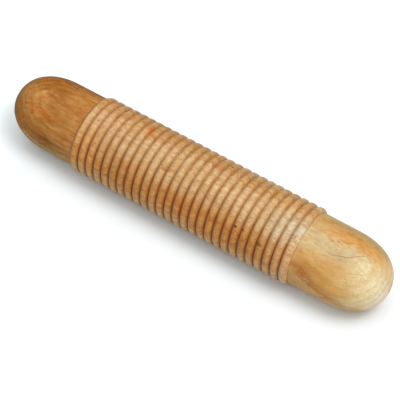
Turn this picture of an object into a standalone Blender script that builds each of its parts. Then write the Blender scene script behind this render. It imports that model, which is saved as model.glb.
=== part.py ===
"""Wooden guiro: a turned ribbed body with domed plain ends and a milled sound slot underneath.

Units are metres and +Z is up. The body lies along X, on the eased rims of its slot, with the
origin on the floor under its middle. Everything is one piece of wood.
"""

from math import cos, pi, radians, sin, sqrt

import bmesh
import bpy

# Ribbed middle, which the scraper is drawn along
RIB_COUNT = 27
RIB_PITCH = 0.0065
RIB_DIAMETER = 0.0575
GROOVE_DEPTH = 0.0018
BEAD_POWER = 2.3
BEAD_STEPS = 3

# Plain ends, from the last rib's side to the tip, closed by a dome
END_DIAMETER = 0.0528
END_LENGTH = 0.06225
DOME_LENGTH = 0.036
DOME_POWER = 2.2
DOME_STEPS = 8

# Sound slot, milled from below with a round-nosed cutter
SLOT_WIDTH = 0.020
SLOT_OVERRUN = 0.012
ROOF_THICKNESS = 0.007
SLOT_STEPS = 8

# The rims of the slot are eased to a narrow flat, on which the body rests
RIM_EASE = 0.0004

# Sides of the turned body and clearance by which a cutter passes the wood
TURN_STEPS = 32
CUT_MARGIN = 0.005

RIBBED_LENGTH = RIB_COUNT * RIB_PITCH
HALF_LENGTH = RIBBED_LENGTH / 2 + END_LENGTH
RIB_RADIUS = RIB_DIAMETER / 2
END_RADIUS = END_DIAMETER / 2
GROOVE_RADIUS = RIB_RADIUS - GROOVE_DEPTH
SLOT_RADIUS = SLOT_WIDTH / 2
SLOT_HALF_RUN = RIBBED_LENGTH / 2 + SLOT_OVERRUN - SLOT_RADIUS
SLOT_ROOF = GROOVE_RADIUS - ROOF_THICKNESS
RIM_DROP = sqrt(RIB_RADIUS**2 - SLOT_RADIUS**2)
FLOOR_DROP = max(RIM_DROP - RIM_EASE, END_RADIUS)

LACQUERED_COLOUR = (0.60, 0.33, 0.12, 1.0)
BARE_COLOUR = (0.66, 0.42, 0.22, 1.0)


def clear_scene():
    """Remove every object that the file opened with."""
    for item in list(bpy.data.objects):
        bpy.data.objects.remove(item, do_unlink=True)


def make_material(name, colour, roughness):
    """A wood finish as a plain Principled surface."""
    material = bpy.data.materials.new(name)
    material.use_nodes = True
    shader = material.node_tree.nodes["Principled BSDF"]
    shader.inputs["Base Color"].default_value = colour
    shader.inputs["Roughness"].default_value = roughness
    shader.inputs["Metallic"].default_value = 0.0
    material.diffuse_color = colour
    return material


def add_object(name, shape):
    """Turn a bmesh into an object of the scene."""
    mesh = bpy.data.meshes.new(name)
    shape.to_mesh(mesh)
    shape.free()
    item = bpy.data.objects.new(name, mesh)
    bpy.context.collection.objects.link(item)
    return item


def dome_profile():
    """Points (from the tip, radius) of one dome: a superellipse, a little fuller than round."""
    power = 2 / DOME_POWER
    points = []
    for step in range(DOME_STEPS + 1):
        angle = step / DOME_STEPS * pi / 2
        reach = DOME_LENGTH * (1 - cos(angle) ** power)
        points.append((reach, END_RADIUS * sin(angle) ** power))
    points[0] = (0.0, 0.0)
    points[-1] = (DOME_LENGTH, END_RADIUS)
    return points


def rib_profile():
    """Points (x, radius) over the ribs: rounded beads that meet in the bottoms of the grooves."""
    points = []
    for step in range(2 * BEAD_STEPS * RIB_COUNT + 1):
        from_crest = abs(step % (2 * BEAD_STEPS) - BEAD_STEPS) / BEAD_STEPS
        radius = RIB_RADIUS - GROOVE_DEPTH * from_crest**BEAD_POWER
        points.append((step / (2 * BEAD_STEPS) * RIB_PITCH - RIBBED_LENGTH / 2, radius))
    return points


def body_profile():
    """Points (x, radius) along the whole body, tip to tip."""
    left_end = [(-HALF_LENGTH + reach, radius) for reach, radius in dome_profile()]
    # The plain end runs up to the foot of the first rib.
    left_end.append((-RIBBED_LENGTH / 2, END_RADIUS))
    right_end = [(-x, radius) for x, radius in reversed(left_end)]
    return left_end + rib_profile() + right_end


def turn_body():
    """Spin the profile round the X axis, as on a lathe."""
    shape = bmesh.new()
    points = [shape.verts.new((x, 0.0, radius)) for x, radius in body_profile()]
    edges = [shape.edges.new(pair) for pair in zip(points, points[1:])]
    bmesh.ops.spin(
        shape,
        geom=points + edges,
        cent=(0.0, 0.0, 0.0),
        axis=(1.0, 0.0, 0.0),
        angle=2 * pi,
        steps=TURN_STEPS,
    )
    bmesh.ops.remove_doubles(shape, verts=shape.verts, dist=1e-6)
    bmesh.ops.recalc_face_normals(shape, faces=shape.faces)
    return add_object("guiro_body", shape)


def stadium_ring(shape, radius, height):
    """A closed ring of points: two half circles joined by the straight runs of the slot."""
    ring = []
    for side in (1, -1):
        for step in range(SLOT_STEPS + 1):
            angle = side * pi / 2 * (2 * step / SLOT_STEPS - 1)
            across = radius * sin(angle)
            along = side * (SLOT_HALF_RUN + radius * cos(angle))
            ring.append(shape.verts.new((along, across, height)))
    return ring


def slot_cutter():
    """What the round-nosed cutter sweeps: straight walls below, a half-round roof above."""
    shape = bmesh.new()
    centre = SLOT_ROOF - SLOT_RADIUS
    rings = [stadium_ring(shape, SLOT_RADIUS, -RIB_RADIUS - CUT_MARGIN)]
    roof_steps = SLOT_STEPS // 2
    for step in range(roof_steps):
        angle = step / roof_steps * pi / 2
        height = centre + SLOT_RADIUS * sin(angle)
        rings.append(stadium_ring(shape, SLOT_RADIUS * cos(angle), height))
    for lower, upper in zip(rings, rings[1:]):
        for near in range(len(lower)):
            far = (near + 1) % len(lower)
            shape.faces.new((lower[near], lower[far], upper[far], upper[near]))
    shape.faces.new(reversed(rings[0]))
    close_roof(shape, rings[-1])
    bmesh.ops.recalc_face_normals(shape, faces=shape.faces)
    return hide_cutter(add_object("slot_cutter", shape))


def close_roof(shape, ring):
    """Close the roof on its ridge: a fan at each round end and one long face on each side."""
    half = len(ring) // 2
    ridge = [shape.verts.new((side * SLOT_HALF_RUN, 0.0, SLOT_ROOF)) for side in (1, -1)]
    for start, top in zip((0, half), ridge):
        for step in range(half - 1):
            shape.faces.new((ring[start + step], ring[start + step + 1], top))
    shape.faces.new((ring[half - 1], ring[half], ridge[1], ridge[0]))
    shape.faces.new((ring[-1], ring[0], ridge[0], ridge[1]))


def floor_cutter():
    """A block below the floor, which eases the slot's rims to a flat."""
    shape = bmesh.new()
    bmesh.ops.create_cube(shape, size=1.0)
    length = 2 * (HALF_LENGTH + CUT_MARGIN)
    width = 2 * (RIB_RADIUS + CUT_MARGIN)
    depth = RIB_RADIUS - FLOOR_DROP + CUT_MARGIN
    bmesh.ops.scale(shape, vec=(length, width, depth), verts=shape.verts)
    bmesh.ops.translate(shape, vec=(0.0, 0.0, -FLOOR_DROP - depth / 2), verts=shape.verts)
    return hide_cutter(add_object("floor_cutter", shape))


def hide_cutter(cutter):
    """A cutter shows as wires and is no part of the object."""
    cutter.hide_render = True
    cutter.display_type = "WIRE"
    return cutter


def cut(body, cutter, name):
    """Take a cutter's shape out of the body."""
    cutter.parent = body
    modifier = body.modifiers.new(name, "BOOLEAN")
    modifier.operation = "DIFFERENCE"
    modifier.solver = "EXACT"
    modifier.object = cutter


def finish_surface(body):
    """Bare wood on the ribs, lacquer on the ends, and smooth shading between sharp edges."""
    body.data.materials.append(make_material("lacquered_wood", LACQUERED_COLOUR, 0.25))
    body.data.materials.append(make_material("bare_wood", BARE_COLOUR, 0.6))
    for face in body.data.polygons:
        face.material_index = int(abs(face.center.x) < RIBBED_LENGTH / 2)
    body.data.shade_smooth()
    body.data.set_sharp_from_angle(angle=radians(50))


def main():
    """Turn the body, mill its slot and set it on the floor."""
    clear_scene()
    body = turn_body()
    finish_surface(body)
    cut(body, slot_cutter(), "sound_slot")
    cut(body, floor_cutter(), "eased_rims")
    body.location.z = FLOOR_DROP


main()
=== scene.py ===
"""Looks of a turned wooden guiro: bare scraped ribs between lacquered, domed ends.

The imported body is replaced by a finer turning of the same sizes, made by one Geometry Nodes tree,
and dressed with procedural wood. All lengths are metres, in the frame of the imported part: X along
the body, Z up, the floor at zero. Angles round the body start at the side that faces the camera
(-Y) and grow towards the top.
"""

import logging
import math
from dataclasses import dataclass
from enum import Enum

import bpy
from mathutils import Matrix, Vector

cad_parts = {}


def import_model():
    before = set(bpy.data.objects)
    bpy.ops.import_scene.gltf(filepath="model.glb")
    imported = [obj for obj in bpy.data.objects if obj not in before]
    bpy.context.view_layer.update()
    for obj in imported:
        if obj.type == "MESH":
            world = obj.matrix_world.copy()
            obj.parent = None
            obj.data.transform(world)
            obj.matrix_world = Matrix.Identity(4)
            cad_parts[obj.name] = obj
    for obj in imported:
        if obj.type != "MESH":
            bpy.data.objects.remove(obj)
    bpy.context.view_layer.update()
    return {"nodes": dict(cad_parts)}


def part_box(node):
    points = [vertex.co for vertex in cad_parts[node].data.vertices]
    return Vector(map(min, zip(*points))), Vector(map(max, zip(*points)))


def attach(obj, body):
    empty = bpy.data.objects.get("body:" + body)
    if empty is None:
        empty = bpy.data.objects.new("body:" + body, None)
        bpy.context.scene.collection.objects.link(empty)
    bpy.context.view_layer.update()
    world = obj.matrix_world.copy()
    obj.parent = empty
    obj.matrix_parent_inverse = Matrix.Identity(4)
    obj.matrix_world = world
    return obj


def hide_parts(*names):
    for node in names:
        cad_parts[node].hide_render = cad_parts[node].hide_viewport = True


LOG = logging.getLogger("guiro")

Colour = tuple[float, float, float, float]
Socket = bpy.types.NodeSocket
Outputs = bpy.types.bpy_prop_collection
Profile = tuple[Socket, Socket]
Value = float | Socket

WHITE: Colour = (1.0, 1.0, 1.0, 1.0)
BLACK: Colour = (0.0, 0.0, 0.0, 1.0)


def srgb(red: int, green: int, blue: int) -> Colour:
    """Turn a colour given in screen levels into the linear values that shaders read.

    Args:
        red: Red, 0 to 255.
        green: Green, 0 to 255.
        blue: Blue, 0 to 255.

    Returns:
        The linear colour with a full alpha.
    """
    linear = []
    for level in (red, green, blue):
        share = level / 255
        linear.append(share / 12.92 if share <= 0.04045 else ((share + 0.055) / 1.055) ** 2.4)
    return (linear[0], linear[1], linear[2], 1.0)


class Wiring:
    """Adds nodes to one tree and joins them. A value may be a number, a vector or a socket."""

    def __init__(self, tree: bpy.types.NodeTree) -> None:
        """Keep the tree that the nodes go into."""
        self.tree = tree

    def add(self, kind: str, **settings: object) -> bpy.types.Node:
        """Add a node.

        Args:
            kind: The node's type name.
            settings: Properties of the node, such as operation.

        Returns:
            The new node.
        """
        node = self.tree.nodes.new(kind)
        for name, value in settings.items():
            setattr(node, name, value)
        return node

    def feed(self, socket: Socket, value: object) -> None:
        """Link a socket to an input, or set it to a constant.

        Args:
            socket: The input socket to feed.
            value: A number, a vector, a colour, a material or an output socket.
        """
        if isinstance(value, Socket):
            self.tree.links.new(value, socket)
        else:
            socket.default_value = value

    def place(self, kind: str, inputs: dict[str | int, object], **settings: object) -> Socket:
        """Add a node and feed its inputs.

        Args:
            kind: The node's type name.
            inputs: Values by the input's name or number.
            settings: Properties of the node.

        Returns:
            The node's first output.
        """
        node = self.add(kind, **settings)
        for name, value in inputs.items():
            self.feed(node.inputs[name], value)
        return node.outputs[0]

    def math(self, operation: str, *values: Value, clamp: bool = False) -> Socket:
        """Work out one number from others.

        Args:
            operation: The Math node's operation.
            values: Its operands.
            clamp: Whether the result is kept between 0 and 1.

        Returns:
            The result.
        """
        inputs = dict(enumerate(values))
        return self.place("ShaderNodeMath", inputs, operation=operation, use_clamp=clamp)

    def combine(self, x: Value, y: Value, z: Value) -> Socket:
        """Make a vector of three numbers."""
        return self.place("ShaderNodeCombineXYZ", {0: x, 1: y, 2: z})

    def separate(self, vector: Socket) -> tuple[Socket, ...]:
        """Split a vector.

        Args:
            vector: The vector's socket.

        Returns:
            Its three numbers.
        """
        node = self.add("ShaderNodeSeparateXYZ")
        self.feed(node.inputs[0], vector)
        return tuple(node.outputs)

    def smooth_range(self, value: Value, low: Value, high: Value) -> Socket:
        """Rise smoothly from 0 at low to 1 at high."""
        inputs = {"Value": value, "From Min": low, "From Max": high}
        return self.place("ShaderNodeMapRange", inputs, interpolation_type="SMOOTHSTEP")

    def mix_colour(self, factor: Value, first: object, second: object, blend: str = "MIX") -> Socket:
        """Mix two colours.

        Args:
            factor: How much of the second colour shows.
            first: The colour or socket below.
            second: The colour or socket on top.
            blend: The blend type.

        Returns:
            The mixed colour.
        """
        node = self.add("ShaderNodeMix", data_type="RGBA", blend_type=blend)
        colour_inputs = [socket for socket in node.inputs if socket.type == "RGBA"]
        self.feed(node.inputs[0], factor)
        self.feed(colour_inputs[0], first)
        self.feed(colour_inputs[1], second)
        return next(socket for socket in node.outputs if socket.type == "RGBA")

    def distance(self, first: Socket, second: Socket) -> Socket:
        """Work out how far two steps at a right angle reach."""
        squares = [self.math("MULTIPLY", step, step) for step in (first, second)]
        return self.math("SQRT", self.math("ADD", *squares))

    def noise(self, vector: Socket, scale: float, detail: float) -> Socket:
        """Sample a noise texture of a given scale, with as many finer layers as its detail."""
        inputs = {"Vector": vector, "Scale": scale, "Detail": detail}
        return self.place("ShaderNodeTexNoise", inputs)

    def direct_rays(self) -> Socket:
        """Tell the rays that show a surface as it is, straight or in gloss or glass.

        Returns:
            1 for camera, glossy and transmission rays, 0 for those that only carry light.
        """
        path = self.add("ShaderNodeLightPath").outputs
        direct = self.math("MAXIMUM", path["Is Camera Ray"], path["Is Glossy Ray"])
        return self.math("MAXIMUM", direct, path["Is Transmission Ray"])


class NodeGroup(Wiring):
    """A node group under construction, with its sockets."""

    def __init__(self, name: str, kind: str, inputs: dict[str, str], outputs: dict[str, str]) -> None:
        """Make an empty group.

        Args:
            name: The group's name.
            kind: The type of its tree.
            inputs: Socket types by the input's name.
            outputs: Socket types by the output's name.
        """
        super().__init__(bpy.data.node_groups.new(name, kind))
        for socket, socket_type in inputs.items():
            self.tree.interface.new_socket(socket, in_out="INPUT", socket_type=socket_type)
        for socket, socket_type in outputs.items():
            self.tree.interface.new_socket(socket, in_out="OUTPUT", socket_type=socket_type)
        self.given = self.add("NodeGroupInput").outputs
        self.result = self.add("NodeGroupOutput").inputs


def add_object(name: str, data: bpy.types.ID) -> bpy.types.Object:
    """Put a mesh, a lamp or a camera into the scene.

    Args:
        name: The object's name.
        data: What it shows.

    Returns:
        The new object, at the origin.
    """
    item = bpy.data.objects.new(name, data)
    bpy.context.scene.collection.objects.link(item)
    return item


def add_material(name: str) -> tuple[bpy.types.Material, Wiring, bpy.types.Node]:
    """Make a material with a Principled shader.

    Args:
        name: The material's name.

    Returns:
        The material, its wiring and its shader.
    """
    material = bpy.data.materials.new(name)
    material.use_nodes = True
    return material, Wiring(material.node_tree), material.node_tree.nodes["Principled BSDF"]


NUMBER = "NodeSocketFloat"
WHOLE = "NodeSocketInt"
VECTOR = "NodeSocketVector"
GEOMETRY = "NodeSocketGeometry"
MATERIAL = "NodeSocketMaterial"

# The tree's material inputs, in the order in which the finishes cover each other
FINISH_INPUTS = ("Left Lacquer", "Right Lacquer", "Bare Ribs", "Milled Slot")

# Share of a rib that keeps a sample at a groove on its far side
ROUNDING = 0.0001


@dataclass(frozen=True)
class WoodFinishes:
    """The materials of the body, by the stretch that each one covers."""

    left_lacquer: bpy.types.Material
    right_lacquer: bpy.types.Material
    bare_ribs: bpy.types.Material
    milled_slot: bpy.types.Material

    def by_input(self) -> dict[str, bpy.types.Material]:
        """The materials under the names of the tree's inputs."""
        stretches = (self.left_lacquer, self.right_lacquer, self.bare_ribs, self.milled_slot)
        return dict(zip(FINISH_INPUTS, stretches))


@dataclass
class TurnedBody:
    """The turned and milled wood, and the tree that turns it.

    Heights and radii are measured from the body's own axis.
    """

    half_length: float
    rib_radius: float
    axis_height: float
    rib_count: int = 27
    rib_pitch: float = 0.0065
    groove_depth: float = 0.0018
    crest_power: float = 2.3
    end_radius: float = 0.0264
    dome_length: float = 0.036
    dome_power: float = 2.2
    slot_radius: float = 0.010
    slot_overrun: float = 0.012
    roof_thickness: float = 0.007
    samples_per_rib: int = 14
    dome_samples: int = 28
    turn_steps: int = 128
    nose_segments: int = 48
    nose_rings: int = 24
    step_width: float = 0.00003
    lacquer_lap: float = 0.0001
    ground_size: float = 1.0
    ground_depth: float = 0.1
    weld: float = 0.00001
    sharp_angle: float = math.radians(50)

    @property
    def ribbed_length(self) -> float:
        """Length of the ribbed middle."""
        return self.rib_count * self.rib_pitch

    @property
    def groove_radius(self) -> float:
        """Radius at the bottom of a groove."""
        return self.rib_radius - self.groove_depth

    @property
    def slot_half_run(self) -> float:
        """Distance from the middle to the centre of the slot's round end."""
        return self.ribbed_length / 2 + self.slot_overrun - self.slot_radius

    def inputs(self) -> dict[str, float | int]:
        """Values of the tree's named inputs."""
        return {
            "Ribs": self.rib_count,
            "Pitch": self.rib_pitch,
            "Rib Radius": self.rib_radius,
            "Groove Depth": self.groove_depth,
            "Crest Power": self.crest_power,
            "End Radius": self.end_radius,
            "Half Length": self.half_length,
            "Dome Length": self.dome_length,
            "Dome Power": self.dome_power,
            "Rib Samples": self.samples_per_rib,
            "Dome Samples": self.dome_samples,
            "Turn Steps": self.turn_steps,
            "Slot Radius": self.slot_radius,
            "Slot Half Run": self.slot_half_run,
            "Slot Roof": self.groove_radius - self.roof_thickness,
            "Axis Height": self.axis_height,
        }

    def build(self, finishes: WoodFinishes) -> bpy.types.Object:
        """Turn the body and mill its slot.

        Args:
            finishes: The materials of its surfaces.

        Returns:
            The finished piece, a plain mesh at the origin.
        """
        tree = self.make_tree()
        carrier = add_object("body_carrier", bpy.data.meshes.new("body_carrier"))
        modifier = carrier.modifiers.new("turning", "NODES")
        modifier.node_group = tree
        values = {**self.inputs(), **finishes.by_input()}
        for item in tree.interface.items_tree:
            if item.in_out == "INPUT" and item.name in values:
                modifier[item.identifier] = values[item.name]
        graph = bpy.context.evaluated_depsgraph_get()
        mesh = bpy.data.meshes.new_from_object(carrier.evaluated_get(graph))
        carrier.modifiers.remove(modifier)
        bpy.data.objects.remove(carrier)
        return add_object("turned_wood", mesh)

    def make_tree(self) -> bpy.types.NodeTree:
        """Build the Geometry Nodes tree that turns, mills and dresses the body.

        Returns:
            The tree, with the sizes and the materials as its inputs.
        """
        sockets = {}
        for name, value in self.inputs().items():
            sockets[name] = WHOLE if isinstance(value, int) else NUMBER
        sockets.update({name: MATERIAL for name in FINISH_INPUTS})
        group = NodeGroup("turned_body", "GeometryNodeTree", sockets, {"Geometry": GEOMETRY})
        ribs = self.turn(group, self.rib_line(group))
        left_end = self.turn(group, self.end_line(group))
        mirrored = {"Geometry": left_end, "Scale": (-1.0, 1.0, 1.0)}
        right_end = group.place("GeometryNodeTransform", mirrored)
        right_end = group.place("GeometryNodeFlipFaces", {"Mesh": right_end})
        joined = group.add("GeometryNodeJoinGeometry")
        for part in (ribs, left_end, right_end):
            group.feed(joined.inputs[0], part)
        welded = {"Geometry": joined.outputs[0], "Distance": self.weld}
        milled = self.mill(group, group.place("GeometryNodeMergeByDistance", welded))
        lift = group.combine(0.0, 0.0, group.given["Axis Height"])
        placed = group.place("GeometryNodeTransform", {"Geometry": milled, "Translation": lift})
        shaded = self.shade(group, placed)
        group.feed(group.result["Geometry"], self.dress(group, shaded))
        return group.tree

    def half_ribbed(self, group: NodeGroup) -> Socket:
        """Work out half the length of the ribbed middle."""
        length = group.math("MULTIPLY", group.given["Ribs"], group.given["Pitch"])
        return group.math("MULTIPLY", length, 0.5)

    def sampled_line(self, group: NodeGroup, start: object, end: object, count: Value) -> Socket:
        """Lay a straight line with evenly spaced points.

        Args:
            group: The tree under construction.
            start: Where the line starts.
            end: Where it ends.
            count: How many points it has.

        Returns:
            The line.
        """
        line = group.place("GeometryNodeCurvePrimitiveLine", {"Start": start, "End": end})
        sampled = {"Curve": line, "Count": count}
        return group.place("GeometryNodeResampleCurve", sampled, mode="COUNT")

    def rib_line(self, group: NodeGroup) -> Profile:
        """Lay the line of the ribbed middle, whose radius repeats with the pitch.

        Args:
            group: The tree under construction.

        Returns:
            The line, and the radius along it.
        """
        given = group.given
        half = self.half_ribbed(group)
        start = group.combine(group.math("MULTIPLY", half, -1.0), 0.0, 0.0)
        end = group.combine(half, 0.0, 0.0)
        count = group.math("ADD", group.math("MULTIPLY", given["Ribs"], given["Rib Samples"]), 1.0)
        line = self.sampled_line(group, start, end, count)
        index = group.add("GeometryNodeInputIndex").outputs[0]
        # A point at a groove falls just past the whole number, never before it.
        turns = group.math("ADD", group.math("DIVIDE", index, given["Rib Samples"]), ROUNDING)
        phase = group.math("SUBTRACT", group.math("FRACT", turns), 0.5)
        from_crest = group.math("MULTIPLY", group.math("ABSOLUTE", phase), 2.0)
        fall = group.math("POWER", from_crest, given["Crest Power"])
        drop = group.math("MULTIPLY", fall, given["Groove Depth"])
        return line, group.math("SUBTRACT", given["Rib Radius"], drop)

    def end_line(self, group: NodeGroup) -> Profile:
        """Lay the line of the left end: a superellipse dome, a plain run and the step to the ribs.

        Args:
            group: The tree under construction.

        Returns:
            The line, and the radius along it.
        """
        given = group.given
        last = given["Dome Samples"]
        count = group.math("ADD", last, 3.0)
        line = self.sampled_line(group, (0.0, 0.0, 0.0), (1.0, 0.0, 0.0), count)
        index = group.add("GeometryNodeInputIndex").outputs[0]
        angle = group.math("MULTIPLY", group.math("DIVIDE", index, last, clamp=True), math.pi / 2)
        power = group.math("DIVIDE", 2.0, given["Dome Power"])
        cosine = group.math("MAXIMUM", group.math("COSINE", angle), 0.0)
        opened = group.math("SUBTRACT", 1.0, group.math("POWER", cosine, power))
        dome_reach = group.math("MULTIPLY", opened, given["Dome Length"])
        opening = group.math("POWER", group.math("SINE", angle), power)
        dome_radius = group.math("MULTIPLY", opening, given["End Radius"])
        # Two samples follow the dome's last one: the foot of the step and its top.
        past_dome = group.math("GREATER_THAN", index, group.math("ADD", last, 0.5))
        past_foot = group.math("GREATER_THAN", index, group.math("ADD", last, 1.5))
        end_length = group.math("SUBTRACT", given["Half Length"], self.half_ribbed(group))
        past_tip = group.math("SUBTRACT", end_length, given["Dome Length"])
        plain_run = group.math("SUBTRACT", past_tip, self.step_width)
        reach = group.math("MULTIPLY_ADD", past_dome, plain_run, dome_reach)
        reach = group.math("MULTIPLY_ADD", past_foot, self.step_width, reach)
        groove_radius = group.math("SUBTRACT", given["Rib Radius"], given["Groove Depth"])
        step_height = group.math("SUBTRACT", groove_radius, given["End Radius"])
        radius = group.math("MULTIPLY_ADD", past_foot, step_height, dome_radius)
        along = group.math("SUBTRACT", reach, given["Half Length"])
        placed = {"Geometry": line, "Position": group.combine(along, 0.0, 0.0)}
        return group.place("GeometryNodeSetPosition", placed), radius

    def turn(self, group: NodeGroup, profile: Profile) -> Socket:
        """Sweep a circle along a line, scaled by the radius at each point.

        Args:
            group: The tree under construction.
            profile: The line, and the radius along it.

        Returns:
            The turned surface.
        """
        unit = {"Resolution": group.given["Turn Steps"], "Radius": 1.0}
        circle = group.place("GeometryNodeCurvePrimitiveCircle", unit)
        inputs = {"Curve": profile[0], "Profile Curve": circle, "Scale": profile[1]}
        return group.place("GeometryNodeCurveToMesh", inputs)

    def mill(self, group: NodeGroup, body: Socket) -> Socket:
        """Cut the slot with what a round-nosed cutter sweeps, and level its rims at the floor.

        Args:
            group: The tree under construction.
            body: The turned body.

        Returns:
            The milled body, whose cut faces carry the attribute "milled".
        """
        given = group.given
        nose = group.math("SUBTRACT", given["Slot Roof"], given["Slot Radius"])
        below = group.math("MULTIPLY", given["Rib Radius"], -2.0)
        segments, rings = self.nose_segments, self.nose_rings
        sphere = {"Segments": segments, "Rings": rings, "Radius": given["Slot Radius"]}
        # Two balls at the roof and two well below the body span what the cutter sweeps.
        swept = group.add("GeometryNodeJoinGeometry")
        for side in (-1.0, 1.0):
            along = group.math("MULTIPLY", given["Slot Half Run"], side)
            for height in (nose, below):
                ball = group.place("GeometryNodeMeshUVSphere", sphere)
                place = {"Geometry": ball, "Translation": group.combine(along, 0.0, height)}
                group.feed(swept.inputs[0], group.place("GeometryNodeTransform", place))
        cutter = group.place("GeometryNodeConvexHull", {0: swept.outputs[0]})
        marked = {"Geometry": cutter, "Name": "milled", "Value": True}
        kind = {"data_type": "BOOLEAN", "domain": "FACE"}
        cutter = group.place("GeometryNodeStoreNamedAttribute", marked, **kind)
        size = (self.ground_size, self.ground_size, self.ground_depth)
        ground = group.place("GeometryNodeMeshCube", {"Size": size})
        floor = group.math("MULTIPLY", given["Axis Height"], -1.0)
        drop = group.math("SUBTRACT", floor, self.ground_depth / 2)
        lowered = {"Geometry": ground, "Translation": group.combine(0.0, 0.0, drop)}
        ground = group.place("GeometryNodeTransform", lowered)
        cut = group.add("GeometryNodeMeshBoolean", operation="DIFFERENCE", solver="EXACT")
        group.feed(cut.inputs[0], body)
        group.feed(cut.inputs[1], cutter)
        group.feed(cut.inputs[1], ground)
        return cut.outputs[0]

    def shade(self, group: NodeGroup, body: Socket) -> Socket:
        """Shade the surface smooth, with its sharp edges kept.

        Args:
            group: The tree under construction.
            body: The milled body.

        Returns:
            The shaded body.
        """
        rounded = {"Geometry": body, "Shade Smooth": True}
        smooth = group.place("GeometryNodeSetShadeSmooth", rounded, domain="FACE")
        bend = group.add("GeometryNodeInputMeshEdgeAngle").outputs[0]
        sharp = group.math("GREATER_THAN", bend, self.sharp_angle)
        inputs = {"Geometry": smooth, "Selection": sharp, "Shade Smooth": False}
        return group.place("GeometryNodeSetShadeSmooth", inputs, domain="EDGE")

    def dress(self, group: NodeGroup, body: Socket) -> Socket:
        """Give each stretch of the surface its finish.

        The left end's lacquer laps a little way onto the foot of the first rib.

        Args:
            group: The tree under construction.
            body: The shaded body.

        Returns:
            The body with its materials.
        """
        given = group.given
        along = group.separate(group.add("GeometryNodeInputPosition").outputs[0])[0]
        ribbed = self.half_ribbed(group)
        on_right = group.math("GREATER_THAN", along, 0.0)
        lap = self.lacquer_lap / 2
        inside = group.math("ABSOLUTE", group.math("SUBTRACT", along, lap))
        on_ribs = group.math("LESS_THAN", inside, group.math("SUBTRACT", ribbed, lap))
        milled = group.add("GeometryNodeInputNamedAttribute", data_type="BOOLEAN")
        milled.inputs["Name"].default_value = "milled"
        whole = group.place("GeometryNodeRealizeInstances", {"Geometry": body})
        lacquered = {"Geometry": whole, "Material": given[FINISH_INPUTS[0]]}
        surface = group.place("GeometryNodeSetMaterial", lacquered)
        for name, where in zip(FINISH_INPUTS[1:], (on_right, on_ribs, milled.outputs[0])):
            inputs = {"Geometry": surface, "Selection": where, "Material": given[name]}
            surface = group.place("GeometryNodeSetMaterial", inputs)
        return surface


@dataclass(frozen=True)
class Mark:
    """A patch, streak or knot in the wood, or painted highlight, reflection or shade, along and round the
    body.

    Lengths are metres along the body, angles and breadths degrees round it, and the slope is in
    degrees a metre. The colour is given in screen levels. The grain bends the outline unless the
    mark is crisp.
    """

    along: float
    angle: float
    half_length: float
    half_breadth: float
    colour: tuple[int, int, int]
    strength: float
    slope: float = 0.0
    softness: float = 0.8
    crisp: bool = False


@dataclass(frozen=True)
class Figure:
    """One layer of the wood's figure: a noise that is drawn out along the body."""

    shortening: float
    scale: float
    detail: float
    contrast: tuple[float, float] = (0.0, 1.0)


FIGURES = {
    "Cloud": Figure(0.5, 60.0, 4.0, (0.33, 0.67)),
    "Mottle": Figure(0.45, 420.0, 2.5, (0.32, 0.68)),
    "Fibre": Figure(0.06, 1300.0, 3.0, (0.3, 0.7)),
    "Pore": Figure(0.16, 1900.0, 1.0, (0.60, 0.72)),
}
WARP = Figure(0.35, 42.0, 3.0)

# How far the warp shifts the growth rings, and over which share of a ring its tint rises and falls
RING_WANDER = 0.012
RING_RISE = (0.35, 0.9)
RING_FALL = (1.0, 0.93)


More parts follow.
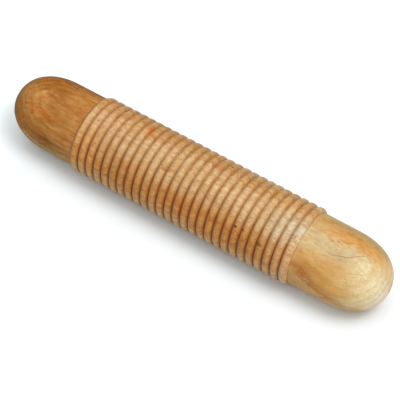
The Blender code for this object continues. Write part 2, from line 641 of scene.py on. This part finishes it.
class WoodGroups:
    """The node groups that more than one finish uses."""

    def __init__(self, axis_height: float) -> None:
        """Build the groups.

        Args:
            axis_height: Height of the body's axis above the floor.
        """
        self.position = self.make_position(axis_height)
        self.grain = self.make_grain()
        self.mark = self.make_mark()

    def make_position(self, axis_height: float) -> bpy.types.NodeTree:
        """Say where a point lies on the body: along it, round it, and how far from its axis.

        Args:
            axis_height: Height of the body's axis above the floor.

        Returns:
            The group's tree.
        """
        outputs = {"Along": NUMBER, "Angle": NUMBER, "Radius": NUMBER}
        group = NodeGroup("place_on_body", "ShaderNodeTree", {"Vector": VECTOR}, outputs)
        along, across, height = group.separate(group.given["Vector"])
        up = group.math("SUBTRACT", height, axis_height)
        turned = group.math("ARCTAN2", up, group.math("MULTIPLY", across, -1.0))
        group.feed(group.result["Along"], along)
        group.feed(group.result["Angle"], group.math("DEGREES", turned))
        group.feed(group.result["Radius"], group.distance(up, across))
        return group.tree

    def make_grain(self) -> bpy.types.NodeTree:
        """Lay growth rings round a pith off the body's axis, and the figures along it.

        Returns:
            The group's tree.
        """
        numbers = ("Ring Spacing", "Pith Across", "Pith Height", "Lean")
        inputs = {"Vector": VECTOR, **{name: NUMBER for name in numbers}}
        outputs = {name: NUMBER for name in ("Ring", "Warp", *FIGURES)}
        group = NodeGroup("wood_grain", "ShaderNodeTree", inputs, outputs)
        given = group.given
        point = group.separate(given["Vector"])
        along, across, height = point
        warp = group.math("SUBTRACT", self.stretched(group, point, WARP), 0.5)
        group.feed(group.result["Warp"], warp)
        side = group.math("SUBTRACT", across, given["Pith Across"])
        lifted = group.math("ADD", height, group.math("MULTIPLY", along, given["Lean"]))
        rise = group.math("SUBTRACT", lifted, given["Pith Height"])
        wander = group.math("MULTIPLY", warp, RING_WANDER)
        reach = group.math("ADD", group.distance(side, rise), wander)
        turn = group.math("FRACT", group.math("DIVIDE", reach, given["Ring Spacing"]))
        early = group.smooth_range(turn, *RING_RISE)
        late = group.smooth_range(turn, *RING_FALL)
        group.feed(group.result["Ring"], group.math("MULTIPLY", early, late))
        for name, figure in FIGURES.items():
            shade = group.smooth_range(self.stretched(group, point, figure), *figure.contrast)
            group.feed(group.result[name], shade)
        return group.tree

    def stretched(self, group: NodeGroup, point: tuple[Socket, ...], figure: Figure) -> Socket:
        """Sample a figure's noise, drawn out along the body.

        Args:
            group: The group under construction.
            point: The point's place along the body, across it and above the floor.
            figure: The figure to sample.

        Returns:
            The noise's number.
        """
        along = group.math("MULTIPLY", point[0], figure.shortening)
        place = group.combine(along, point[1], point[2])
        return group.noise(place, figure.scale, figure.detail)

    def make_mark(self) -> bpy.types.NodeTree:
        """Make a soft-edged patch round a point of the surface, leaning with its slope.

        Returns:
            The group's tree.
        """
        places = ("Along", "Angle", "Centre", "Turned")
        sizes = ("Half Length", "Half Breadth", "Slope", "Softness")
        inputs = {name: NUMBER for name in (*places, *sizes)}
        group = NodeGroup("wood_mark", "ShaderNodeTree", inputs, {"Mask": NUMBER})
        given = group.given
        ahead = group.math("SUBTRACT", given["Along"], given["Centre"])
        round_by = group.math("SUBTRACT", given["Angle"], given["Turned"])
        lean = group.math("SUBTRACT", round_by, group.math("MULTIPLY", given["Slope"], ahead))
        far_along = group.math("DIVIDE", ahead, given["Half Length"])
        far_round = group.math("DIVIDE", lean, given["Half Breadth"])
        reach = group.distance(far_along, far_round)
        inner = group.math("SUBTRACT", 1.0, given["Softness"])
        outer = group.math("ADD", 1.0, given["Softness"])
        outside = group.smooth_range(reach, inner, outer)
        group.feed(group.result["Mask"], group.math("SUBTRACT", 1.0, outside))
        return group.tree


@dataclass(frozen=True)
class WoodTone:
    """The ground colours of one stretch of wood and how strongly its grain shows."""

    light: Colour
    deep: Colour
    ring: float
    mottle: float
    fibre: float
    pore: float
    ring_spacing: float = 0.0045
    pith_across: float = 0.02
    pith_height: float = -0.03
    lean: float = 0.06


RING_TINT = (0.82, 0.62, 0.42, 1.0)
MOTTLE_TINT = (0.86, 0.72, 0.56, 1.0)
FIBRE_TINT = (0.84, 0.74, 0.60, 1.0)
PORE_TINT = (0.48, 0.36, 0.25, 1.0)


class Surface(Enum):
    """How the wood was left: scraped bare, milled bare, or lacquered thinly or fully."""

    SCRAPED = "scraped"
    MILLED = "milled"
    THIN_LACQUER = "thin lacquer"
    FULL_LACQUER = "full lacquer"


@dataclass(frozen=True)
class WoodFinish:
    """One wood material: its tone, its surface and the marks at their own places."""

    name: str
    surface: Surface
    tone: WoodTone
    marks: tuple[Mark, ...] = ()
    warp_along: float = 0.02
    warp_round: float = 26.0
    ragged_along: float = 0.004
    ragged_round: float = 7.0

    def build(self, groups: WoodGroups, body: TurnedBody) -> bpy.types.Material:
        """Make the material.

        Args:
            groups: The shared node groups.
            body: The body, whose sizes place the grooves' dirt and painted shade.

        Returns:
            The new material.
        """
        material, wiring, shader = add_material(self.name)
        point = wiring.add("ShaderNodeTexCoord").outputs["Object"]
        place = self.use(wiring, groups.position, {"Vector": point})
        grain = self.use(wiring, groups.grain, self.grain_inputs(point))
        colour = wiring.mix_colour(grain["Cloud"], self.tone.light, self.tone.deep)
        colour = self.marked(wiring, groups, place, grain, colour)
        colour = self.grained(wiring, grain, colour)
        if self.surface is Surface.SCRAPED:
            colour = self.stain_and_shade_grooves(wiring, body, place, colour)
        wiring.feed(shader.inputs["Base Color"], colour)
        self.set_gloss(wiring, shader, grain)
        self.set_relief(wiring, shader, grain)
        material.diffuse_color = self.tone.light
        return material

    def use(self, wiring: Wiring, tree: bpy.types.NodeTree, inputs: dict[str, object]) -> Outputs:
        """Place a shared group and feed it.

        Args:
            wiring: The material's wiring.
            tree: The group's tree.
            inputs: Values by the input's name.

        Returns:
            The group's outputs.
        """
        node = wiring.add("ShaderNodeGroup", node_tree=tree)
        for name, value in inputs.items():
            wiring.feed(node.inputs[name], value)
        return node.outputs

    def grain_inputs(self, point: Socket) -> dict[str, object]:
        """What the grain group reads for this tone."""
        return {
            "Vector": point,
            "Ring Spacing": self.tone.ring_spacing,
            "Pith Across": self.tone.pith_across,
            "Pith Height": self.tone.pith_height,
            "Lean": self.tone.lean,
        }

    def grained(self, wiring: Wiring, grain: Outputs, colour: Socket) -> Socket:
        """Tint the colour with the rings, the mottled figure, the fibres and the pores.

        Args:
            wiring: The material's wiring.
            grain: The grain at the point.
            colour: The colour below.

        Returns:
            The tinted colour.
        """
        tone = self.tone
        layers = (
            ("Ring", tone.ring, RING_TINT),
            ("Mottle", tone.mottle, MOTTLE_TINT),
            ("Fibre", tone.fibre, FIBRE_TINT),
            ("Pore", tone.pore, PORE_TINT),
        )
        for name, strength, tint in layers:
            share = wiring.math("MULTIPLY", grain[name], strength)
            colour = wiring.mix_colour(share, colour, tint, "MULTIPLY")
        return colour

    def marked(
        self, wiring: Wiring, groups: WoodGroups, place: Outputs, grain: Outputs, colour: Socket
    ) -> Socket:
        """Lay the marks over the colour, their outlines bent by the grain.

        Args:
            wiring: The material's wiring.
            groups: The shared node groups.
            place: Where the point lies on the body.
            grain: The grain at the point.
            colour: The colour below the marks.

        Returns:
            The colour with the marks.
        """
        ragged = wiring.math("SUBTRACT", grain["Mottle"], 0.5)
        along = wiring.math("MULTIPLY_ADD", grain["Warp"], self.warp_along, place["Along"])
        along = wiring.math("MULTIPLY_ADD", ragged, self.ragged_along, along)
        angle = wiring.math("MULTIPLY_ADD", grain["Warp"], self.warp_round, place["Angle"])
        angle = wiring.math("MULTIPLY_ADD", ragged, self.ragged_round, angle)
        for mark in self.marks:
            inputs = {
                "Along": place["Along"] if mark.crisp else along,
                "Angle": place["Angle"] if mark.crisp else angle,
                "Centre": mark.along,
                "Turned": mark.angle,
                "Half Length": mark.half_length,
                "Half Breadth": mark.half_breadth,
                "Slope": mark.slope,
                "Softness": mark.softness,
            }
            mask = self.use(wiring, groups.mark, inputs)["Mask"]
            share = wiring.math("MULTIPLY", mask, mark.strength)
            colour = wiring.mix_colour(share, colour, srgb(*mark.colour))
        return colour

    def stain_and_shade_grooves(self, wiring: Wiring, body: TurnedBody, place: Outputs, colour: Socket) -> Socket:
        """Darken grooves with the cut fibres' dirt and painted shade; paint shade on ribs' left flanks.

        Args:
            wiring: The material's wiring.
            body: The body, whose sizes place the grooves.
            place: Where the point lies on the body.
            colour: The colour of the wood.

        Returns:
            The stained colour.
        """
        dirt_and_shade = GROOVE_DIRT_AND_SHADE
        shoulder = body.rib_radius - dirt_and_shade.clean_crest * body.groove_depth
        depth = wiring.smooth_range(place["Radius"], shoulder, body.groove_radius)
        # The last rib has no groove on its right, only the step down to the plain end.
        outermost = body.ribbed_length / 2 - body.rib_pitch / 2
        inside = wiring.math("LESS_THAN", place["Along"], outermost)
        depth = wiring.math("MULTIPLY", depth, inside)
        # Painted shade: the grooves darken more towards the bottom of the body
        off_back = wiring.smooth_range(place["Angle"], *dirt_and_shade.back_angles)
        low_down = wiring.smooth_range(place["Angle"], *dirt_and_shade.low_angles)
        gain = dirt_and_shade.on_top - dirt_and_shade.at_back
        strength = wiring.math("MULTIPLY_ADD", off_back, gain, dirt_and_shade.at_back)
        gain = dirt_and_shade.low_down - dirt_and_shade.on_top
        strength = wiring.math("MULTIPLY_ADD", low_down, gain, strength)
        share = wiring.math("MULTIPLY", depth, strength)
        colour = wiring.mix_colour(share, colour, dirt_and_shade.colour)
        # Painted shade on each rib's left flank, which faces away from the key lamp
        from_start = wiring.math("ADD", place["Along"], body.ribbed_length / 2)
        past_groove = wiring.math("FRACT", wiring.math("DIVIDE", from_start, body.rib_pitch))
        rising = wiring.smooth_range(past_groove, *dirt_and_shade.flank_rise)
        falling = wiring.smooth_range(past_groove, *dirt_and_shade.flank_fall)
        flank = wiring.math("MULTIPLY", rising, falling)
        share = wiring.math("MULTIPLY", flank, inside)
        return wiring.mix_colour(share, colour, dirt_and_shade.flank_shade, "MULTIPLY")

    def set_gloss(self, wiring: Wiring, shader: bpy.types.Node, grain: Outputs) -> None:
        """Set how the surface shines: an even lacquer, or bare wood that the fibres break up.

        Args:
            wiring: The material's wiring.
            shader: The material's shader.
            grain: The grain at the point.
        """
        gloss = GLOSS[self.surface]
        swing = wiring.math("SUBTRACT", grain["Fibre"], 0.5)
        spread = (swing, gloss.roughness_swing, gloss.roughness)
        wiring.feed(shader.inputs["Roughness"], wiring.math("MULTIPLY_ADD", *spread, clamp=True))
        levels = {
            "Specular IOR Level": gloss.specular,
            "Coat Weight": gloss.coat,
            "Coat Roughness": gloss.coat_roughness,
            "Sheen Weight": gloss.sheen,
            "Sheen Roughness": SHEEN_ROUGHNESS,
        }
        for name, level in levels.items():
            shader.inputs[name].default_value = level

    def set_relief(self, wiring: Wiring, shader: bpy.types.Node, grain: Outputs) -> None:
        """Raise the fibres and sink the pores a little.

        Args:
            wiring: The material's wiring.
            shader: The material's shader.
            grain: The grain at the point.
        """
        gloss = GLOSS[self.surface]
        height = wiring.math("SUBTRACT", grain["Fibre"], grain["Pore"])
        inputs = {"Strength": gloss.relief, "Distance": gloss.relief_depth, "Height": height}
        wiring.feed(shader.inputs["Normal"], wiring.place("ShaderNodeBump", inputs))


@dataclass(frozen=True)
class Gloss:
    """How one kind of surface reflects, and how deep its relief is."""

    roughness: float
    roughness_swing: float
    relief: float
    relief_depth: float
    specular: float = 0.0
    coat: float = 0.0
    coat_roughness: float = 0.3
    sheen: float = 0.0


GLOSS = {
    Surface.SCRAPED: Gloss(0.52, 0.20, 0.35, 0.00012, specular=0.12, sheen=0.10),
    Surface.MILLED: Gloss(0.70, 0.20, 0.50, 0.0002, specular=0.20),
    Surface.THIN_LACQUER: Gloss(0.40, 0.08, 0.10, 0.00006, coat=0.11),
    Surface.FULL_LACQUER: Gloss(0.40, 0.08, 0.10, 0.00006, coat=0.26, coat_roughness=0.24, sheen=0.05),
}
SHEEN_ROUGHNESS = 0.3


@dataclass(frozen=True)
class GrooveDirtAndShade:
    """The dirt and painted shade in the grooves, and the painted shade on each rib's left flank.

    The darkening changes round the body, its painted shade growing towards the bottom. A pair of
    angles or of shares of a rib gives where a change starts and where it is complete.
    """

    colour: Colour = srgb(138, 70, 0)
    at_back: float = 0.37
    on_top: float = 0.48
    low_down: float = 0.94
    back_angles: tuple[float, float] = (140.0, 80.0)
    low_angles: tuple[float, float] = (95.0, 20.0)
    clean_crest: float = 0.06
    flank_shade: Colour = (0.85, 0.87, 0.84, 1.0)
    flank_rise: tuple[float, float] = (0.0, 0.16)
    flank_fall: tuple[float, float] = (0.5, 0.22)


GROOVE_DIRT_AND_SHADE = GrooveDirtAndShade()

BARE_TONE = WoodTone(
    srgb(221, 168, 104), srgb(204, 151, 87), ring=0.4, mottle=0.9, fibre=0.8, pore=0.9
)
LEFT_TONE = WoodTone(
    srgb(198, 149, 87), srgb(169, 118, 56), ring=0.6, mottle=0.9, fibre=0.9, pore=0.5, ring_spacing=0.0026
)
RIGHT_TONE = WoodTone(
    srgb(216, 184, 126), srgb(198, 159, 96), ring=0.3, mottle=0.65, fibre=0.4, pore=0.45
)

BARE_MARKS = (
    # A painted highlight along the top and on the last ribs, and broad tints towards both ends of the
    # ribs
    Mark(0.0, 77.0, 0.2, 34.0, (221, 190, 146), 0.95, softness=0.6),
    Mark(0.084, 68.0, 0.018, 26.0, (231, 227, 206), 0.95, softness=0.6),
    Mark(0.084, 30.0, 0.018, 30.0, (224, 182, 130), 0.8, softness=0.7),
    Mark(0.085, 20.0, 0.004, 34.0, (232, 192, 146), 0.85, softness=0.5, crisp=True),
    Mark(-0.08, 25.0, 0.012, 40.0, (225, 172, 108), 0.7, softness=0.6),
    # Painted shade behind, painted shade and reflection along the upper outline, painted reflection low
    # down
    Mark(0.0, 118.0, 0.2, 14.0, (199, 159, 98), 0.6, softness=0.7),
    Mark(0.0, 140.0, 0.2, 17.0, (178, 148, 98), 0.65),
    Mark(0.0, -9.0, 0.2, 13.0, (218, 192, 144), 0.9, softness=0.7),
    Mark(0.0, -34.0, 0.2, 14.0, (182, 158, 104), 0.85, softness=0.7),
    # Amber streaks on the side, and painted highlights as pale streaks on the top
    Mark(-0.0008, 30.0, 0.016, 9.0, (208, 130, 62), 0.42, softness=1.0),
    Mark(0.026, 9.0, 0.016, 9.0, (206, 128, 62), 0.38, softness=1.0),
    Mark(0.04, 32.0, 0.02, 8.0, (206, 128, 62), 0.45, softness=1.0),
    Mark(-0.018, 79.0, 0.016, 9.0, (228, 200, 150), 0.45, softness=1.0),
    Mark(0.0198, 77.0, 0.012, 9.0, (230, 204, 156), 0.55, softness=1.0),
    Mark(0.042, 75.0, 0.014, 8.0, (230, 206, 160), 0.5, softness=1.0),
    # Painted shade at the foot of the first rib
    Mark(-0.0879, 90.0, 0.0016, 50.0, (160, 98, 34), 0.85, softness=0.7, crisp=True),
    # A painted reflection along the upper outline
    Mark(0.05, 136.0, 0.045, 14.0, (202, 182, 138), 0.55),
    # Uneven tints of single stretches
    Mark(-0.0385, 46.0, 0.01, 9.0, (212, 150, 88), 0.6, softness=0.9),
    Mark(0.0, 73.0, 0.008, 8.0, (234, 204, 158), 0.7, softness=0.9),
    Mark(0.0825, 92.0, 0.006, 8.0, (200, 156, 100), 0.55, softness=0.9),
    Mark(-0.03, 2.0, 0.018, 8.0, (202, 148, 84), 0.5, softness=0.9),
    Mark(0.086, 127.0, 0.006, 9.0, (212, 200, 164), 0.6, softness=0.9),
    Mark(0.085, -8.0, 0.006, 10.0, (228, 210, 172), 0.6, softness=0.9),
    Mark(-0.034, 104.0, 0.006, 8.0, (206, 144, 80), 0.5, softness=0.9),
    Mark(-0.072, 98.0, 0.006, 8.0, (208, 154, 94), 0.45, softness=0.9),
    Mark(-0.064, 82.0, 0.006, 8.0, (236, 206, 160), 0.5, softness=0.9),
    # Two reddish spots and an amber patch
    Mark(-0.0142, 67.0, 0.005, 3.0, (190, 112, 74), 0.6, softness=0.7),
    Mark(0.0088, 103.0, 0.006, 3.0, (190, 112, 66), 0.5, softness=0.7),
    Mark(-0.0428, 107.0, 0.003, 6.0, (216, 116, 24), 0.8, softness=0.9, crisp=True),
    # Dark specks, the first two at the knot
    Mark(0.0443, 40.0, 0.0011, 1.7, (58, 30, 14), 0.9, softness=0.5, crisp=True),
    Mark(0.0497, 40.3, 0.0012, 2.0, (74, 38, 16), 0.75, softness=0.6, crisp=True),
    Mark(0.0637, 33.0, 0.0022, 3.0, (104, 52, 20), 0.75, softness=0.7, crisp=True),
    Mark(0.0197, 118.0, 0.0012, 2.0, (104, 60, 26), 0.75, softness=0.6, crisp=True),
)
LEFT_MARKS = (
    # A painted highlight on the top, and pale and amber patches
    Mark(-0.13, 78.0, 0.012, 16.0, (196, 148, 84), 0.3, softness=0.9),
    Mark(-0.1256, 76.0, 0.003, 4.0, (224, 186, 128), 0.5),
    Mark(-0.1205, 82.0, 0.005, 5.0, (230, 184, 124), 0.5, softness=0.9),
    Mark(-0.0935, 68.0, 0.008, 12.0, (200, 146, 80), 0.5, softness=0.9),
    Mark(-0.1174, 54.0, 0.012, 8.0, (206, 122, 50), 0.45),
    Mark(-0.128, 108.0, 0.012, 10.0, (180, 110, 36), 0.5),
    # Painted shade along the back, painted reflection along the bottom, painted shade round the nose
    Mark(-0.112, 140.0, 0.05, 18.0, (132, 88, 38), 0.7),
    Mark(-0.115, -23.0, 0.05, 24.0, (180, 170, 126), 0.85, softness=0.7),
    Mark(-0.152, 0.0, 0.011, 2000.0, (140, 114, 68), 0.8),
    # Darker streaks low on the side
    Mark(-0.118, 8.0, 0.022, 8.0, (152, 110, 44), 0.5),
    Mark(-0.1088, 11.0, 0.005, 7.0, (124, 76, 30), 0.6),
    Mark(-0.122, 17.0, 0.012, 5.0, (144, 92, 38), 0.4),
)
RIGHT_MARKS = (
    # Pale patches on the top, and a painted highlight on the nose
    Mark(0.102, 84.0, 0.022, 13.0, (205, 185, 144), 0.85, softness=0.9),
    Mark(0.108, 67.0, 0.03, 12.0, (210, 192, 148), 0.75, softness=0.9),
    Mark(0.122, 81.0, 0.018, 11.0, (205, 186, 144), 0.9),
    Mark(0.144, 32.0, 0.018, 52.0, (250, 240, 196), 0.9, softness=0.9),
    # Warmer patches
    Mark(0.11, 48.0, 0.02, 13.0, (220, 166, 88), 0.6),
    Mark(0.1, 103.0, 0.02, 9.0, (202, 162, 104), 0.6),
    Mark(0.095, 27.0, 0.009, 11.0, (200, 140, 74), 0.85, softness=0.7),
    Mark(0.118, 25.0, 0.013, 10.0, (220, 166, 84), 0.75),
    Mark(0.1275, 26.0, 0.008, 12.0, (232, 188, 112), 0.75),
    # Sloping streaks and cracks low on the side
    Mark(0.112, 8.0, 0.02, 7.0, (194, 126, 60), 0.65, slope=-950.0, softness=0.9),
    Mark(0.1075, 10.0, 0.012, 0.9, (120, 62, 24), 0.6, slope=-1300.0),
    Mark(0.115, 1.0, 0.012, 0.8, (120, 62, 24), 0.55, slope=-950.0),
    Mark(0.11, -10.0, 0.025, 9.0, (202, 166, 106), 0.6, slope=-300.0, softness=0.9),
    # A warmer tint, painted shade and reflection along the upper outline, painted highlights at the nose
    Mark(0.124, 107.0, 0.018, 11.0, (220, 166, 90), 0.7, softness=0.9),
    Mark(0.112, 138.0, 0.05, 18.0, (168, 142, 88), 0.7),
    Mark(0.112, 150.0, 0.05, 14.0, (210, 184, 132), 0.5),
    Mark(0.15, 118.0, 0.009, 44.0, (248, 228, 188), 0.85),
    Mark(0.149, 0.0, 0.006, 60.0, (255, 249, 226), 0.9, softness=0.7),
    Mark(0.144, 62.0, 0.004, 14.0, (250, 242, 214), 0.5, softness=0.9),
    # Small patches
    Mark(0.1335, 62.0, 0.007, 9.0, (222, 204, 154), 0.45, softness=0.9),
    Mark(0.108, 93.0, 0.01, 6.0, (222, 162, 84), 0.6, softness=0.9),
    Mark(0.121, 10.0, 0.009, 7.0, (204, 148, 80), 0.5, softness=0.9),
    # Fine cracks on the top
    Mark(0.1135, 94.0, 0.008, 0.8, (130, 76, 36), 0.55, slope=830.0),
    Mark(0.1245, 82.0, 0.0065, 0.7, (140, 92, 50), 0.6, slope=1900.0, crisp=True),
    Mark(0.1165, 72.0, 0.006, 0.7, (140, 92, 50), 0.55, slope=800.0, crisp=True),
    Mark(0.13, 59.0, 0.005, 0.6, (176, 130, 76), 0.5, slope=900.0, crisp=True),
)


def make_finishes(body: TurnedBody) -> WoodFinishes:
    """Make the four wood materials of the body.

    Args:
        body: The body, whose sizes place the marks and the grooves' dirt and painted shade.

    Returns:
        The materials.
    """
    groups = WoodGroups(body.axis_height)
    left = WoodFinish("dark_lacquered_end", Surface.THIN_LACQUER, LEFT_TONE, LEFT_MARKS)
    right = WoodFinish("light_lacquered_end", Surface.FULL_LACQUER, RIGHT_TONE, RIGHT_MARKS)
    ribs = WoodFinish("scraped_ribs", Surface.SCRAPED, BARE_TONE, BARE_MARKS)
    slot = WoodFinish("milled_slot", Surface.MILLED, BARE_TONE)
    return WoodFinishes(*(finish.build(groups, body) for finish in (left, right, ribs, slot)))


@dataclass(frozen=True)
class Softbox:
    """A square area lamp that hangs over the object and faces it."""

    name: str
    place: tuple[float, float, float]
    size: float
    power: float

    def hang(self) -> None:
        """Add the lamp to the scene."""
        lamp = bpy.data.lights.new(self.name, "AREA")
        lamp.shape = "SQUARE"
        lamp.size = self.size
        lamp.energy = self.power
        holder = add_object(self.name, lamp)
        holder.location = self.place
        holder.rotation_mode = "QUATERNION"
        holder.rotation_quaternion = (-Vector(self.place)).to_track_quat("-Z", "Y")


SOFTBOXES = (
    Softbox("key_softbox", (0.55, 0.0, 1.3), 0.5, 6.0),
    Softbox("broad_softbox", (0.0, 0.0, 1.8), 3.2, 42.0),
)


@dataclass
class Studio:
    """The floor, the light and the camera."""

    axis_height: float
    floor_size: float = 16.0
    floor_shade: Colour = (0.75, 0.75, 0.75, 1.0)
    floor_roughness: float = 0.9
    floor_white: Colour = (0.95, 0.985, 1.0, 1.0)
    floor_lift: Colour = (0.01, 0.03, 0.04, 1.0)
    fade_reach: tuple[float, float] = (0.4, 1.4)
    sky_strength: float = 0.26
    camera_turn: float = 32.98
    camera_rise: float = 55.61
    camera_distance: float = 1.0637
    camera_target: tuple[float, float, float] = (0.0049, -0.0040, -0.0041)
    focal_pixels: float = 1550.8
    picture_pixels: float = 400.0

    def build(self) -> None:
        """Set up everything round the object."""
        self.add_floor()
        self.add_sky()
        for lamp in SOFTBOXES:
            lamp.hang()
        self.add_camera()

    def add_floor(self) -> None:
        """Lay a pale floor that looks white and keeps the shadow."""
        half = self.floor_size / 2
        corners = [(-half, -half, 0.0), (half, -half, 0.0), (half, half, 0.0), (-half, half, 0.0)]
        mesh = bpy.data.meshes.new("floor")
        mesh.from_pydata(corners, [], [(0, 1, 2, 3)])
        floor = add_object("floor", mesh)
        material, wiring, shader = add_material("pale_floor")
        direct = wiring.direct_rays()
        shade = wiring.mix_colour(direct, self.floor_shade, self.floor_white)
        wiring.feed(shader.inputs["Base Color"], shade)
        # A painted glow on the floor for direct rays: faint and bluish in the object's shadow, white
        # further off
        away = wiring.add("ShaderNodeVectorMath", operation="LENGTH")
        wiring.feed(away.inputs[0], wiring.add("ShaderNodeTexCoord").outputs["Object"])
        far = wiring.smooth_range(away.outputs["Value"], *self.fade_reach)
        lift = wiring.mix_colour(far, self.floor_lift, WHITE)
        wiring.feed(shader.inputs["Emission Color"], wiring.mix_colour(direct, BLACK, lift))
        shader.inputs["Emission Strength"].default_value = 1.0
        shader.inputs["Roughness"].default_value = self.floor_roughness
        shader.inputs["Specular IOR Level"].default_value = 0.0
        mesh.materials.append(material)

    def add_sky(self) -> None:
        """Light the scene evenly from all round, with a white background."""
        world = bpy.data.worlds.new("studio_sky")
        world.use_nodes = True
        bpy.context.scene.world = world
        wiring = Wiring(world.node_tree)
        background = world.node_tree.nodes["Background"]
        background.inputs["Color"].default_value = WHITE
        gain = 1.0 - self.sky_strength
        lift = wiring.math("MULTIPLY_ADD", wiring.direct_rays(), gain, self.sky_strength)
        wiring.feed(background.inputs["Strength"], lift)

    def add_camera(self) -> None:
        """Stand the camera where the photograph was taken from."""
        turn = math.radians(self.camera_turn)
        rise = math.radians(self.camera_rise)
        level = Vector((math.sin(turn), -math.cos(turn), 0.0)) * math.cos(rise)
        back = level + Vector((0.0, 0.0, math.sin(rise)))
        camera = bpy.data.cameras.new("camera")
        camera.lens = camera.sensor_width * self.focal_pixels / self.picture_pixels
        holder = add_object("camera", camera)
        target = Vector(self.camera_target) + Vector((0.0, 0.0, self.axis_height))
        holder.location = target + back * self.camera_distance
        holder.rotation_mode = "QUATERNION"
        holder.rotation_quaternion = (-back).to_track_quat("-Z", "Y")
        bpy.context.scene.camera = holder


def main() -> None:
    """Load the frame, dress the body and set up the studio."""
    logging.basicConfig(level=logging.INFO, format="%(name)s: %(message)s")
    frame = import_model()
    LOG.info("frame: nodes %s", sorted(frame["nodes"]))
    low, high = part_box("guiro_body")
    rib_radius = (high.y - low.y) / 2
    half_length = (high.x - low.x) / 2
    body = TurnedBody(half_length, rib_radius, axis_height=high.z - rib_radius)
    piece = body.build(make_finishes(body))
    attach(piece, "root")
    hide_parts("guiro_body")
    LOG.info("%s: %d faces", piece.name, len(piece.data.polygons))
    Studio(body.axis_height).build()


if __name__ == "__main__":
    main()
    bpy.context.scene.view_settings.view_transform = "Standard"
